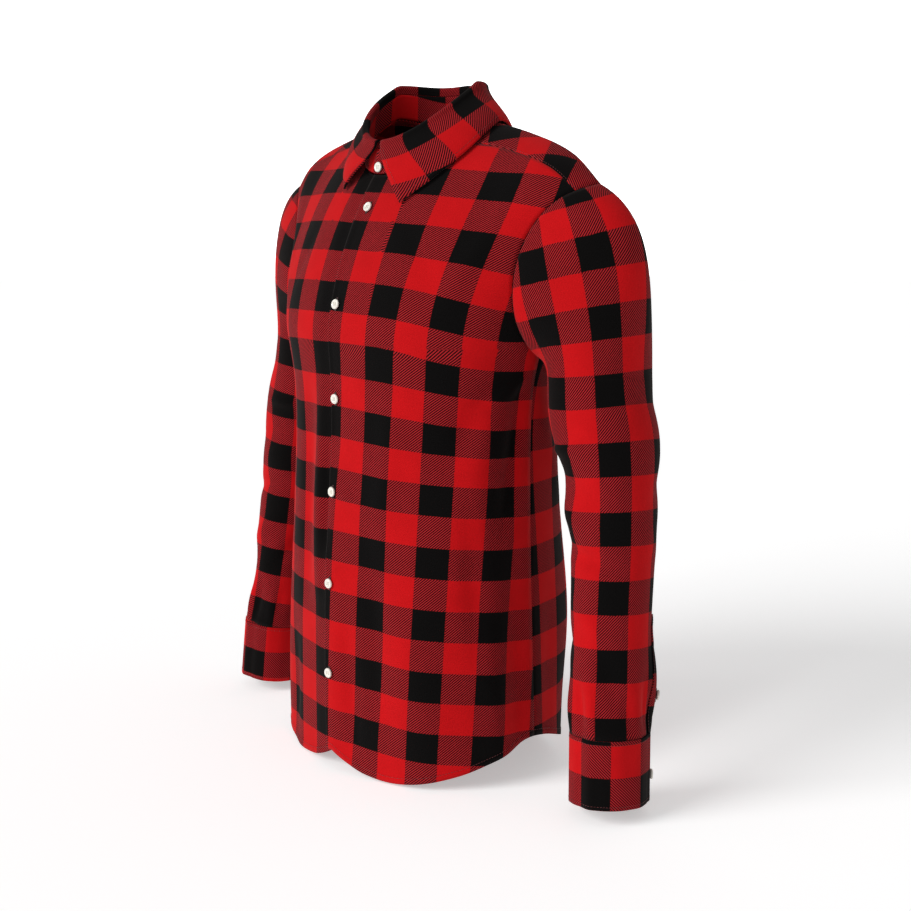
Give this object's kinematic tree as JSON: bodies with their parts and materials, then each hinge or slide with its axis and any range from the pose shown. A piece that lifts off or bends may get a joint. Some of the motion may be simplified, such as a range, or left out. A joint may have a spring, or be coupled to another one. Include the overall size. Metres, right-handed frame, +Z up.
{
  "type": "long-sleeved flannel shirt",
  "caption": "Buttoned long-sleeved shirt in checked flannel, filled out as if worn, with a collar, yoke, curved hem and open neck, cuffs and hem.",
  "frame": {"origin": "in the middle of the neck opening at the height of its sides, where the wearer's neck goes", "axes": "+Z up, the front faces -Y, the wearer's left is +X"},
  "size_m": [0.687, 0.2897, 0.7772],
  "materials": {
    "flannel": "brushed matte",
    "button": "polished"
  },
  "bodies": {
    "root": {"front_left": "flannel", "front_right": "flannel", "back": "flannel", "yoke": "flannel", "collar_stand": "flannel", "collar_leaf": "flannel", "sleeve_left": "flannel", "sleeve_right": "flannel", "cuff_left": "flannel", "cuff_right": "flannel", "sleeve_placket_left": "flannel", "sleeve_placket_right": "flannel", "button_collar": "button", "button_front_1": "button", "button_front_2": "button", "button_front_3": "button", "button_front_4": "button", "button_front_5": "button", "button_front_6": "button", "button_placket_left": "button", "button_placket_right": "button", "button_cuff_left": "button", "button_cuff_right": "button"}
  },
  "joints": []
}
